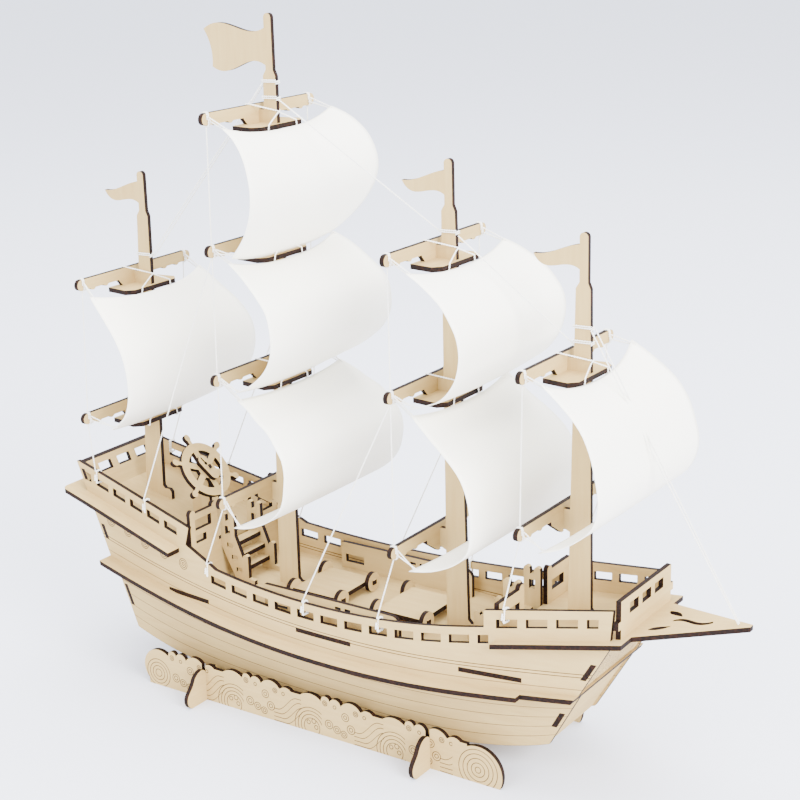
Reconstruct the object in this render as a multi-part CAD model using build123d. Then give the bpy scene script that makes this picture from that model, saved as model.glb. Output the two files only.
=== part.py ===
"""Sailing-ship jigsaw model: flat plywood pieces that slot together, paper sails, thread rigging.

The ship rests in a separate wave-board stand. +X runs to the bow, +Y to port and +Z up.
The origin is on the table, under the middle of the model. All sizes are in millimetres.
"""
from build123d import *
import math
import os

# ---- the sheet material -----------------------------------------------------------------
PLY = 2.5                       # plywood thickness, the same in every wooden piece
PAPER = 0.8                     # sail sheet, with its stiffening
THREAD = 0.8                    # rigging thread diameter
GAP = 0.12                      # clearance of the turning wheel
FIT = 0.01                      # clearance under the resting hull

# ---- lengths along the ship -------------------------------------------------------------
LENGTH = 392.8                  # stern ledge to beak tip
STERN_X = -LENGTH / 2
BEAK_X = LENGTH / 2
QUARTER_BREAK_X = -104.9        # forward face of the quarterdeck bulkhead
FORE_BREAK_X = 84.5             # aft rail of the forecastle
FORE_RAIL_X = 141.5             # forward rail of the forecastle
MAIN_DECK_ENDS = (-124.5, 121.5)
DECK_SLOTS = ((-122.5, -92.0), (-31.0, 3.6), (64.4, 96.8))
FRAME_PLACES = (-112.0, -12.0, 88.0)

# ---- heights ----------------------------------------------------------------------------
KEEL_LOW_Z = 9.6                # lowest point of the bottom plate
KEEL_LIFT = 3.9e-8              # how fast the bottom rises to both ends
KEEL_LOW_X = -28.0
LOFT_Z = (5.0, 68.0)            # heights between which the lower side narrows evenly
MAIN_DECK_Z = 59.5              # top of the main deck
QUARTER_SLOPE = -0.235          # rise per millimetre of the quarterdeck, towards the stern
FORE_SLOPE = 0.17               # rise per millimetre of the forecastle, towards the bow
QUARTER_RAIL = 15.2             # bulwark height over the quarterdeck
FORE_RAIL = 15.7                # bulwark height over the forecastle
FORE_RAIL_EXTRA = 3.6           # how far the cross rails stand over the bulwark

# ---- ledges outside the hull ------------------------------------------------------------
LEDGE = 9.0
BOW_LEDGE = 5.0
LOWER_INSET = 1.0               # lower side stands this far inside the upper side
BOTTOM_SHARE = 0.63             # breadth at the foot of the lower side over deck breadth

# half-breadth to the outer face of the side, by place along the ship
BREADTH = ((-205, 29.5), (-155, 34.0), (-105, 39.5), (-55, 43.5), (-5, 45.0),
           (45, 43.0), (95, 36.0), (142, 29.0), (155, 27.0))

# ---- raked ends: place along the ship at height z ---------------------------------------
STERN_KNEE = (-168.0, 62.0)     # where the stern rake changes
STERN_RAKE_UP = 0.43
STERN_RAKE_LOW = 0.18
BOW_KNEE = (124.5, 54.5)
BOW_RAKE = 0.578

# ---- bulwark windows --------------------------------------------------------------------
WINDOW_WIDE = 10.7
WINDOW_HIGH = 4.5
NARROW_WINDOW = 5.6
MAIN_WINDOW_PITCH = 14.9
QUARTER_WINDOW_PITCH = 13.4

INNER_BULWARK_Y = 33.3          # inboard face of the boards along the waist

# ---- masts: each edge's place aft and fore, at the foot and at the shoulder --------------
MASTS = {
    "mizzen": dict(base=(-168.2, -155.6), top=(-160.4, -152.8), foot=96.0, shoulder=254.0,
                   pole=278.0, root=58.0, yards=(223.3, 149.0), flag="pennant"),
    "main": dict(base=(-74.6, -61.8), top=(-69.2, -61.6), foot=MAIN_DECK_Z, shoulder=331.6,
                 pole=362.0, root=46.0, yards=(315.0, 250.0, 183.5, 117.0), flag="banner"),
    "fore": dict(base=(33.2, 46.0), top=(34.2, 41.8), foot=MAIN_DECK_Z, shoulder=272.7,
                 pole=297.5, root=46.0, yards=(256.0, 190.0, 111.5), flag="pennant"),
    "bow": dict(base=(102.6, 115.2), top=(106.2, 113.8), foot=81.0, shoulder=243.0,
                pole=269.0, root=MAIN_DECK_Z, yards=(210.0, 135.0), flag="pennant"),
}
TOPS = {"mizzen": 2, "main": 3, "fore": 2, "bow": 1}     # how many yards, from above, have a top
POLE_WIDE = 4.4
YARD_HALF = 45.0
YARD_HIGH = 5.8
YARD_GAP = 3.4                  # from the mast's aft edge to the yard's front face
EAR_HIGH = 10.0                 # depth of the mast's ear that carries a yard
TOP_DROP = 6.4                  # from the yard's centre line to the top's upper face
TOP_HALF = 20.0                 # half-length of a top, the small platform at each yard
TOP_NOSE = 2.0                  # wood in front of the mast
SAIL_HALF = 46.0
SAIL_BULGE = {"mizzen": (35.0,), "main": (25.0, 29.0, 34.0), "fore": (29.0, 31.0), "bow": (30.0,)}

# ---- carts on the main deck: ends of each plate -----------------------------------------
CARRIAGE_ENDS = ((-53.6, -25.2), (0.0, 27.8))
CARRIAGE_WHEEL = 5.3
CARRIAGE_TRACK = 14.2           # from the middle of a cart to its wheels

# ---- ladders ----------------------------------------------------------------------------
NEWEL = 14.4                    # height of the round-topped post at a ladder's foot
TENON_SHORT = 1.0               # how far a tread's tenon stays inside its stringer
LADDERS = {
    "main_ladder": dict(foot_x=-88.0, run=-1, steps=3, half=11.4, rail=13.2),
    "fore_ladder": dict(foot_x=56.5, run=1, steps=2, half=9.9, rail=18.2),
}

# ---- helm -------------------------------------------------------------------------------
WHEEL_CENTRE = (-124.5, 0.0, 114.8)
WHEEL_TILT = 38.0               # degrees that the wheel's axis points up from level
WHEEL_RIM = 16.2
WHEEL_RIM_IN = 11.4
WHEEL_HUB = 5.6
WHEEL_HANDLE = 22.3
SPINDLE = 2.3                   # breadth of the post's square tab
WHEEL_BORE = SPINDLE / math.sqrt(2) + GAP / 2

# ---- stand ------------------------------------------------------------------------------
WAVE_ENDS = (-141.0, 89.4)
WAVE_Y = 40.5                   # centre plane of each wave board
WAVE_HIGH = 19.7                # height of the notches between the crests
WAVE_PERIOD = 52.0
WAVE_START = -123.0             # aft end of the first whole period
FOOT_PLACES = (-98.0, 46.5)
FOOT_SHOULDER = 17.0            # height of a foot outside the hull

PARTS = {}


# ---- shape helpers ----------------------------------------------------------------------
def polygon(*points):
    """A filled outline through the points."""
    return make_face(Polyline(*points, close=True))


def board(normal, outline, start, thick=PLY):
    """A flat board whose outline stands square to the named axis, from start to start + thick."""
    planes = {
        "x": Plane(origin=(start, 0, 0), x_dir=(0, 1, 0), z_dir=(1, 0, 0)),
        "y": Plane(origin=(0, start + thick, 0), x_dir=(1, 0, 0), z_dir=(0, -1, 0)),
        "z": Plane(origin=(0, 0, start), x_dir=(1, 0, 0), z_dir=(0, 0, 1)),
    }
    return extrude(planes[normal] * outline, amount=thick)


def centred(normal, outline, middle=0.0, thick=PLY):
    """A board whose middle plane is at the given place."""
    return board(normal, outline, middle - thick / 2, thick)


def box(x, y, z):
    """A block from three (low, high) pairs."""
    size = (x[1] - x[0], y[1] - y[0], z[1] - z[0])
    middle = (sum(x) / 2, sum(y) / 2, sum(z) / 2)
    return Pos(*middle) * Box(*size)


def starboard(shape):
    return mirror(shape, about=Plane.XZ)


def both_sides(shape):
    return shape + starboard(shape)


def solids_of(shape):
    return Compound(children=list(shape.solids()))


def keep(name, shape):
    """Hold a finished piece under its name."""
    PARTS[name] = shape


# ---- curves of the hull -----------------------------------------------------------------
def rail_z(x):
    return 74.0 + 9.0e-4 * (x + 20) ** 2


def wale_z(x):
    return 49.3 + (6.2e-4 if x < -5 else 3.7e-4) * (x + 5) ** 2


def keel_z(x):
    return KEEL_LOW_Z + KEEL_LIFT * (x - KEEL_LOW_X) ** 4


def quarter_z(x):
    return 84.5 + QUARTER_SLOPE * (x + 113)


def fore_z(x):
    return 76.5 + FORE_SLOPE * (x - 82.75)


def half_breadth(x):
    for (x0, y0), (x1, y1) in zip(BREADTH, BREADTH[1:]):
        if x <= x1:
            return y0 + (y1 - y0) * (x - x0) / (x1 - x0)
    return BREADTH[-1][1]


def side_curve(out=0.0, share=1.0):
    return Spline(*[(x, y * share + out) for x, y in BREADTH])


def plan_band(out, inn, share=1.0):
    """The strip in plan between two offsets of the port side's curve."""
    rim = side_curve(out, share)
    back = side_curve(inn, share)
    return make_face(Curve() + [rim, back, Line(rim @ 0, back @ 0), Line(rim @ 1, back @ 1)])


def plan_inside(out, share=1.0):
    """The whole plan inside the port and starboard curves."""
    port = side_curve(out, share)
    star = Spline(*[(x, -y * share - out) for x, y in BREADTH])
    return make_face(Curve() + [port, star, Line(port @ 0, star @ 0), Line(port @ 1, star @ 1)])


def prism(outline, low, high):
    return board("z", outline, low, high - low)


def lower_loft(top_plan, bottom_plan):
    """A solid that narrows from the wale downwards."""
    bottom = Plane.XY.offset(LOFT_Z[0]) * bottom_plan
    top = Plane.XY.offset(LOFT_Z[1]) * top_plan
    return loft([bottom, top], ruled=True)


def below(height, margin):
    """Everything under a height curve, dropped by a margin."""
    places = [-210 + 420 * i / 12 for i in range(13)]
    top = Spline(*[(x, height(x) - margin) for x in places])
    edge = Polyline(top @ 1, (210, -20), (-210, -20), top @ 0)
    return centred("y", make_face(Curve() + [top, edge]), 0, 140)


def sheer_band(height, low_end, high_end, thick=PLY):
    """A full-width plate that follows a height curve; its top face is on the curve."""
    band = below(height, 0) - below(height, thick)
    return band & box((low_end, high_end), (-70, 70), (0, 140))


def stern_x(z):
    rake = STERN_RAKE_UP if z > STERN_KNEE[1] else STERN_RAKE_LOW
    return STERN_KNEE[0] - rake * (z - STERN_KNEE[1])


def bow_x(z):
    return BOW_KNEE[0] + BOW_RAKE * (z - BOW_KNEE[1])


def raked_slab(rake, x_at, inset, z_low, z_high, thick=PLY):
    """A board across the ship that leans with an end's rake; rake is x per unit z."""
    skew = math.hypot(1, rake)
    depth = thick * skew
    points = []
    for z, shift in ((z_low, 0), (z_high, 0), (z_high, depth), (z_low, depth)):
        points.append((x_at(z) + inset + shift, z))
    return centred("y", polygon(*points), 0, 140)


def window(x, width, bottom, slope):
    """A side window: upright ends, with sill and head along the sheer."""
    rise = slope * width
    outline = polygon((x, bottom), (x + width, bottom + rise),
                      (x + width, bottom + rise + WINDOW_HIGH), (x, bottom + WINDOW_HIGH))
    return board("y", outline, 20, 40)


# ---- hull -------------------------------------------------------------------------------
def hull_solids():
    """Solids that the hull pieces are cut from."""
    upper_core = prism(plan_inside(-PLY), 20, 130)
    lower_core = lower_loft(plan_inside(-LOWER_INSET - PLY), plan_inside(-PLY, BOTTOM_SHARE))
    return upper_core, lower_core


def side_profile():
    """Outline of the upper side, seen from the side, before the decks cut into it."""
    aft_top = quarter_z(-190) + QUARTER_RAIL
    quarter = [(x, quarter_z(x) + QUARTER_RAIL) for x in (-190.5, -104.2)]
    drop = [(-107.2, 87.4), (-89.0, rail_z(-89) + 1.2)]
    steps = (-86, -53, -20, 29, 78)
    rail = Spline(*[(x, rail_z(x)) for x in steps])
    fore = [(78, fore_z(78) + FORE_RAIL), (141.4, fore_z(141.4) + FORE_RAIL - 0.8), (139.6, 81.6)]
    keel_line = [(bow_x(40), 40), (stern_x(40), 40), STERN_KNEE, (stern_x(aft_top), aft_top)]
    first = Polyline(keel_line[-1], *quarter, *drop, rail @ 0)
    last = Polyline(rail @ 1, *fore, *keel_line)
    return make_face(Curve() + [first, rail, last])


def side_windows():
    cuts = []
    for i in range(12):
        x = -89.2 + i * MAIN_WINDOW_PITCH
        width = WINDOW_WIDE if i < 11 else NARROW_WINDOW
        slope = 2 * 9.0e-4 * (x + width / 2 + 20)
        cuts.append(window(x, width, rail_z(x) - 8.4, slope))
    for i in range(5):
        x = -176.7 + i * QUARTER_WINDOW_PITCH
        cuts.append(window(x, WINDOW_WIDE - 1, quarter_z(x) + 6.8, QUARTER_SLOPE))
    cuts.append(window(-186.5, NARROW_WINDOW, quarter_z(-186.5) + 6.8, QUARTER_SLOPE))
    for i in range(4):
        x = 84.2 + i * MAIN_WINDOW_PITCH
        width = WINDOW_WIDE if i < 3 else NARROW_WINDOW
        cuts.append(window(x, width, fore_z(x) + 6.4, FORE_SLOPE))
    return cuts


def wale_plates():
    band = sheer_band(wale_z, -176, 134)
    wide = prism(plan_inside(LEDGE), 20, 90)
    narrow = prism(plan_inside(BOW_LEDGE), 20, 90)
    stern_end = board("y", polygon((stern_x(66.8), 66.8), (-100, 66.8), (-100, 20), (stern_x(20), 20)),
                      -70, 140)
    bow_end = board("y", polygon((0, 20), (0, 70), (bow_x(70), 70), (bow_x(20), 20)), -70, 140)
    keep("wale_plate_stern", band & wide & stern_end & box((-180, -146.4), (-70, 70), (20, 90)))
    keep("wale_plate_main", band & wide & box((-146.4, 98.4), (-70, 70), (20, 90)))
    keep("wale_plate_bow", band & narrow & bow_end & box((98.4, 140), (-70, 70), (20, 90)))


def decks(upper_core):
    quarter = sheer_band(quarter_z, STERN_X - 2, QUARTER_BREAK_X - PLY)
    ledge = prism(plan_inside(LEDGE), 60, 130)
    aft_cut = board("z", fillet(polygon((STERN_X, -39), (STERN_X, 39), (-112.6, 60),
                                        (-112.6, -60)).vertices().sort_by(Axis.X)[:2], 5), 60, 70)
    inner = upper_core & box((-130, QUARTER_BREAK_X - PLY), (-60, 60), (60, 130))
    keep("quarterdeck", quarter & ((ledge & aft_cut) + inner))

    fore = sheer_band(fore_z, FORE_BREAK_X - PLY, BEAK_X + 4)
    ledge = prism(plan_inside(BOW_LEDGE), 60, 130) & box((83.4, 147.4), (-60, 60), (60, 130))
    tip = 1.6
    beak = polygon((147.4, -22.4), (BEAK_X, -tip), (BEAK_X, tip), (147.4, 22.4))
    beak = prism(beak, 60, 130) + (upper_core & box((80, 83.4), (-60, 60), (60, 130)))
    plate = fore & (ledge + beak)
    wave = Spline((157.4, 1.5), (161.5, 3.6), (168, 1.2), (176.5, 2.6))
    back = Spline((157.4, -0.3), (162.5, 0.6), (169, -2.2), (177.5, 0.6))
    slot = make_face(Curve() + [wave, back, Line(wave @ 0, back @ 0), Line(wave @ 1, back @ 1)])
    cuts = prism(slot, 60, 130)
    arch = Spline((150.6, 12.6), (152.8, 8.6), (156.0, 7.2), (159.6, 6.0))
    under = Spline((150.6, 12.6), (155.2, 11.6), (159.6, 6.0))
    trapeze = make_face(Curve() + [arch, under])
    cuts = cuts + both_sides(prism(trapeze, 60, 130))
    keep("forecastle_deck", plate - cuts)

    deck = upper_core & box(MAIN_DECK_ENDS, (-60, 60), (MAIN_DECK_Z - PLY, MAIN_DECK_Z))
    hull = prism(plan_inside(0), 20, 130)
    for ends in DECK_SLOTS:
        deck = deck + (hull & box(ends, (-60, 60), (MAIN_DECK_Z - PLY, MAIN_DECK_Z)))
    keep("main_deck", deck - below(wale_z, 0))


def end_panels(upper_core, lower_core):
    """The raked boards that close the bow and the stern, and the stern rail."""
    under_wale = below(wale_z, PLY)
    over_wale = box((-220, 220), (-70, 70), (20, 140)) - below(wale_z, 0)
    hull = prism(plan_inside(0), 20, 130)
    lower_hull = lower_loft(plan_inside(-LOWER_INSET), plan_inside(0, BOTTOM_SHARE))

    over_keel = box((-220, 220), (-70, 70), (0, 140)) - below(keel_z, 0)
    bow = raked_slab(BOW_RAKE, bow_x, -1.4 - PLY * math.hypot(1, BOW_RAKE), 8, 96)
    fore_under = below(fore_z, PLY)
    tab = hull & box((60, 160), (-60, 60), (64, 73))
    keep("bow_panel_upper", bow & over_wale & fore_under & (upper_core + tab))
    tab = lower_hull & box((60, 160), (-60, 60), (33, 42))
    keep("bow_panel_lower", bow & under_wale & over_keel & (lower_core + tab))

    stern = raked_slab(-STERN_RAKE_UP, stern_x, 1.6, STERN_KNEE[1], 124)
    tab = hull & box((-200, -150), (-60, 60), (76, 84))
    keep("transom_upper", stern & over_wale & below(quarter_z, PLY) & (upper_core + tab))
    rail = stern & (upper_core + (hull & box((-200, -150), (-60, 60), (108, 114))))
    rail = rail & below(lambda x: quarter_z(x) + QUARTER_RAIL, 0) - below(quarter_z, 0)
    for middle in (-15, 0, 15):
        rail = rail - box((-200, -170), (middle - 5, middle + 5), (109.2, 114.0))
    keep("stern_rail", rail)
    low = raked_slab(-STERN_RAKE_LOW, stern_x, 1.6, 8, STERN_KNEE[1] + 4)
    tab = lower_hull & box((-200, -130), (-60, 60), (36, 49))
    keep("transom_lower", low & under_wale & over_keel & (lower_core + tab))


def hull_sides():
    profile = board("y", side_profile(), 0, 70)
    side = prism(plan_band(0, -PLY), 20, 130) & profile
    side = side - below(wale_z, 0)
    for cut in side_windows():
        side = side - cut
    top_band = plan_band(-LOWER_INSET, -LOWER_INSET - PLY)
    low_band = plan_band(0, -PLY, BOTTOM_SHARE)
    points = ((stern_x(8), 8), (stern_x(61.9), 61.9), STERN_KNEE,
              (stern_x(67), 67), (bow_x(67), 67), (bow_x(8), 8))
    lower = lower_loft(top_band, low_band) & board("y", polygon(*points), 0, 70) & below(wale_z, PLY)
    lower = lower - below(keel_z, 0)
    for name in ("quarterdeck", "forecastle_deck", "main_deck", "bow_panel_upper", "transom_upper",
                 "stern_rail"):
        side = side - PARTS[name]
    for name in ("bow_panel_lower", "transom_lower"):
        lower = lower - PARTS[name]
    keep("upper_side_port", side)
    keep("upper_side_starboard", starboard(side))
    keep("lower_side_port", lower)
    keep("lower_side_starboard", starboard(lower))


def inner_structure(lower_core):
    """Bottom plate, keel board and frames, below the wale plates."""
    inside = lower_core & below(wale_z, PLY)
    for name in ("bow_panel_lower", "transom_lower"):
        inside = inside - PARTS[name]
    inside = inside & board("y", polygon((stern_x(8) + 4, 8), (stern_x(61) + 4, 61), (-100, 68),
                                         (bow_x(68) - 4, 68), (bow_x(8) - 4, 8)), -60, 120)
    keep("bottom_plate", (inside & below(keel_z, -PLY)) - below(keel_z, 0))
    room = inside - below(keel_z, -PLY)
    keel = room & box((-220, 220), (-PLY / 2, PLY / 2), (0, 90))
    half_z = 36.0
    frames = []
    for x in FRAME_PLACES:
        frame = room & box((x - PLY / 2, x + PLY / 2), (-60, 60), (0, 90))
        frame = frame - box((x - 5, x + 5), (-PLY / 2, PLY / 2), (half_z, 90))
        for side in (-1, 1):
            frame = frame - Pos(x, side * 16, half_z) * Rot(0, 90, 0) * Cylinder(7, 10)
        keel = keel - box((x - PLY / 2, x + PLY / 2), (-5, 5), (0, half_z))
        frames.extend(frame.solids())
    keep("hull_frames", Compound(children=frames))
    keep("keel_board", keel)


# ---- deck furniture ---------------------------------------------------------------------
def quarter_bulkhead(upper_core):
    """The wall under the quarterdeck's break, with rail openings and a gap for the ladder."""
    half = half_breadth(QUARTER_BREAK_X) - PLY
    top = quarter_z(QUARTER_BREAK_X) + 20.8
    wall = board("x", polygon((-half, MAIN_DECK_Z), (half, MAIN_DECK_Z), (half, top), (-half, top)),
                 QUARTER_BREAK_X - PLY)
    wall = wall & upper_core
    gap = 14.5
    sill = quarter_z(QUARTER_BREAK_X)
    wall = wall - box((-120, -100), (-gap, gap), (sill, 120))
    for side in (-1, 1):
        low, high = sorted((side * 20, side * 33))
        wall = wall - box((-120, -100), (low, high), (sill + 11.2, top - 3.6))
        low, high = sorted((side * 24.5, side * 33))
        wall = wall - box((-120, -100), (low, high), (sill + 3.8, sill + 8.0))
        wall = wall + board("x", Pos(side * (gap + 2.2), top) * Circle(2.2), QUARTER_BREAK_X - PLY)
        wall = wall + board("x", Pos(side * (half - 2.2), top) * Circle(2.2), QUARTER_BREAK_X - PLY)
    keep("quarterdeck_bulkhead", wall)


def forecastle_rails(upper_core):
    """The boards across the forecastle: a low wall aft with a gap, and a window rail forward."""
    aft = board("x", polygon((-60, MAIN_DECK_Z), (60, MAIN_DECK_Z), (60, 100), (-60, 100)),
                FORE_BREAK_X - PLY)
    aft = aft & upper_core
    sill = fore_z(FORE_BREAK_X)
    top = sill + FORE_RAIL + 2.2
    gap = 11.5
    rail = aft & box((80, 90), (-60, 60), (sill, top))
    rail = rail - box((80, 90), (-gap, gap), (60, 120))
    for side in (-1, 1):
        low, high = sorted((side * 16, side * 28))
        rail = rail - box((80, 90), (low, high), (sill + 6.4, sill + 11.8))
        rail = rail + board("x", Pos(side * (gap + 2.2), top) * Circle(2.2), FORE_BREAK_X - PLY)
    keep("forecastle_rail_aft", solids_of(rail - below(fore_z, 0)))
    keep("forecastle_bulkhead", (aft & box((80, 90), (-60, 60), (MAIN_DECK_Z, 90))) & below(fore_z, PLY))

    x = FORE_RAIL_X
    top = fore_z(x) + FORE_RAIL + FORE_RAIL_EXTRA
    rail = board("x", polygon((-60, 70), (60, 70), (60, top), (-60, top)), x)
    tab = prism(plan_inside(0), 92, 96)
    rail = (rail & (upper_core + tab)) - below(fore_z, 0)
    for middle in (-13, 0, 13):
        rail = rail - box((x - 5, x + 8), (middle - 4.6, middle + 4.6), (top - 8.8, top - 3.6))
    keep("forecastle_rail_fore", rail)
    for name in ("upper_side_port", "upper_side_starboard"):
        keep(name, PARTS[name] - PARTS["forecastle_rail_fore"])


def inner_bulwarks():
    """A straight board inside each midship bulwark, as high as the rail."""
    low, high, top = -57.5, 26.9, 74.5
    outline = Polyline((low, MAIN_DECK_Z), (low, top), (high - 4, top))
    nose = ThreePointArc((high - 4, top), (high - 1.2, top - 1.2), (high, top - 4))
    base = Polyline((high, top - 4), (high, MAIN_DECK_Z), (low, MAIN_DECK_Z))
    piece = board("y", make_face(Curve() + [outline, nose, base]), INNER_BULWARK_Y)
    for start, width, sill, height in ((-54.7, 12.1, 63.4, 4.5), (-12.0, 3.6, 70.6, 1.4), (-6.0, 3.6, 70.6, 1.4)):
        piece = piece - box((start, start + width), (20, 60), (sill, sill + height))
    keep("inner_bulwark_port", piece)
    keep("inner_bulwark_starboard", starboard(piece))


def stringer(foot_x, break_x, deck_z, run, rail_top):
    """Side board of a ladder; run is +1 when it climbs towards +X."""
    out = -run
    lip = break_x + out * 9.5
    points = [
        (break_x, deck_z - 4), (break_x, rail_top), (break_x + out * 3.6, rail_top),
        (break_x + out * 3.6, rail_top - 2.4), (lip - out * 3.6, rail_top - 2.4),
        (lip - out * 3.6, rail_top), (lip, rail_top), (lip, deck_z + 3),
        (foot_x - out * 2.5, MAIN_DECK_Z + NEWEL), (foot_x + out * 1.2, MAIN_DECK_Z + NEWEL),
        (foot_x + out * 1.2, MAIN_DECK_Z + 3.2), (foot_x + out * 5.0, MAIN_DECK_Z + 2.4),
        (foot_x + out * 5.0, MAIN_DECK_Z), (foot_x - out * 7.0, MAIN_DECK_Z),
    ]
    outline = polygon(*points)
    for x in (break_x + out * 1.8, lip - out * 1.8):
        outline = outline + Pos(x, rail_top) * Circle(1.8)
    outline = outline + Pos(foot_x - out * 0.65, MAIN_DECK_Z + NEWEL) * Circle(1.85)
    middle = (break_x + lip) / 2
    return outline - Pos(middle, rail_top - 7.7) * Rectangle(3.4, 5.0)


def ladder(name, foot_x, break_x, deck_z, run, steps, half, rail_top):
    """Two stringers and the treads that slot between them."""
    outline = stringer(foot_x, break_x, deck_z, run, rail_top)
    sides = centred("y", outline, half) + centred("y", outline, -half)
    treads = []
    out = -run
    lip = break_x + out * 9.5
    for i in range(steps):
        t = (i + 0.8) / steps
        x = (foot_x - out * 3.0) * (1 - t) + (lip - out * 4.0) * t
        z = MAIN_DECK_Z + 1.5 + (deck_z - MAIN_DECK_Z - 3) * t
        tread = box((x - 3.0, x + 3.0), (-half + PLY / 2, half - PLY / 2), (z - PLY / 2, z + PLY / 2))
        mortise = (x - 2.0, x + 2.0), (-half - 2 * PLY, half + 2 * PLY), (z - PLY / 2, z + PLY / 2)
        sides = sides - box(*mortise)
        reach = half + PLY / 2 - TENON_SHORT
        treads.append(tread + box(mortise[0], (-reach, reach), mortise[2]))
    keep(name, Compound(children=list(sides.solids()) + [s for t in treads for s in t.solids()]))


def carriage(low_x, high_x):
    """A low cart: a plate on four upright wheels, each on a square tab."""
    axle_z = MAIN_DECK_Z + CARRIAGE_WHEEL
    half = CARRIAGE_TRACK + 2.4
    tab = 3.0
    plate = box((low_x, high_x), (-half, half), (axle_z - PLY / 2, axle_z + PLY / 2))
    wheels = []
    for x in (low_x - PLY, high_x):
        for y in (-CARRIAGE_TRACK, CARRIAGE_TRACK):
            plate = plate + box((x - 0.7, x + PLY + 0.7), (y - tab / 2, y + tab / 2),
                                (axle_z - PLY / 2, axle_z + PLY / 2))
            wheels.append(board("x", Pos(y, axle_z) * Circle(CARRIAGE_WHEEL), x))
    return plate.solids(), [s for wheel in wheels for s in (wheel - plate).solids()]


def carriages():
    plates, wheels = [], []
    for ends in CARRIAGE_ENDS:
        plate, rollers = carriage(*ends)
        plates.extend(plate)
        wheels.extend(rollers)
    keep("carriage_plates", Compound(children=plates))
    keep("carriage_wheels", Compound(children=wheels))


# ---- helm -------------------------------------------------------------------------------
def helm():
    """A spoked wheel that turns on the square tab of a post, held by a keyhole clip."""
    tilt = math.radians(WHEEL_TILT)
    axis = Vector(math.cos(tilt), 0, math.sin(tilt))
    face = Plane(origin=WHEEL_CENTRE, x_dir=(0, 1, 0), z_dir=axis)

    rim = Circle(WHEEL_RIM) - Circle(WHEEL_RIM_IN)
    wheel = rim + Circle(WHEEL_HUB)
    for i in range(6):
        turn = Rot(0, 0, i * 60 + 30)
        wheel = wheel + turn * Pos(8.5, 0) * Rectangle(8.0, 3.6)
        wheel = wheel + turn * Pos(18.0, 0) * Rectangle(5.0, 2.2)
        wheel = wheel + turn * Pos(WHEEL_HANDLE - 2.2, 0) * Ellipse(2.2, 1.8)
    wheel = wheel - Circle(WHEEL_BORE)
    keep("helm_wheel", extrude(face * wheel, amount=PLY / 2, both=True))

    back = face.offset(-PLY / 2 - GAP)
    front = face.offset(PLY / 2 + GAP)
    tab_end = PLY / 2 + GAP + PLY + 0.9
    tab = extrude(back * Rectangle(SPINDLE, SPINDLE), amount=PLY / 2 + GAP + tab_end)
    centre = Vector(*WHEEL_CENTRE)
    down = Vector(math.sin(tilt), 0, -math.cos(tilt))
    heel = centre - axis * (PLY / 2 + GAP)
    top = heel - down * 5.0
    low = heel + down * 6.0
    foot_z = quarter_z(centre.X - 8)
    points = [(top.X, top.Z), (low.X, low.Z), (low.X + 0.5, foot_z - 6), (low.X - 12, foot_z - 6),
              (top.X - 5.5, top.Z - 4)]
    post = centred("y", polygon(*points), 0, SPINDLE)
    keep("helm_post", (post - below(quarter_z, 0)) + tab)
    clip = SlotOverall(15.6, 6.6, rotation=90) - Pos(0, 4.4) * Rectangle(0.9, 5.0)
    clip = Rot(0, 0, 16.6) * (clip - Pos(0, 2.6) * Circle(1.0)) - Rectangle(SPINDLE, SPINDLE)
    keep("helm_clip", extrude(front * clip, amount=PLY))


# ---- masts, yards, tops and sails -------------------------------------------------------
def mast_edges(mast, z):
    """The mast's aft and fore edges at a height."""
    t = (z - mast["foot"]) / (mast["shoulder"] - mast["foot"])
    return tuple(b + (e - b) * t for b, e in zip(mast["base"], mast["top"]))


def flag_outline(kind, pole_aft, pole_top):
    """A flag cut in one with its pole, flying aft."""
    if kind == "banner":
        high, low, long = pole_top - 6.5, pole_top - 26.0, 38.5
        upper = Spline((pole_aft + 1, high), (pole_aft - 12, high - 2.2), (pole_aft - 24, high + 0.8),
                       (pole_aft - long, high - 2.0))
        fly = Spline(upper @ 1, (pole_aft - long + 4.2, high - 11), (pole_aft - long + 4.6, low - 1))
        under = Spline(fly @ 1, (pole_aft - 20, low - 1.6), (pole_aft - 9, low + 2.4), (pole_aft + 1, low))
        edges = [upper, fly, under, Line(under @ 1, upper @ 0)]
    else:
        high, low, long = pole_top - 5.5, pole_top - 18.0, 24.0
        upper = Spline((pole_aft + 1, high), (pole_aft - 5.5, high - 1.4), (pole_aft - 13, high - 4.2),
                       (pole_aft - long, high - 6.2))
        under = Spline(upper @ 1, (pole_aft - 15, high - 11.4), (pole_aft - 8, high - 10.2),
                       (pole_aft + 1, low))
        edges = [upper, under, Line(under @ 1, upper @ 0)]
    return make_face(Curve() + edges)


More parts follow.
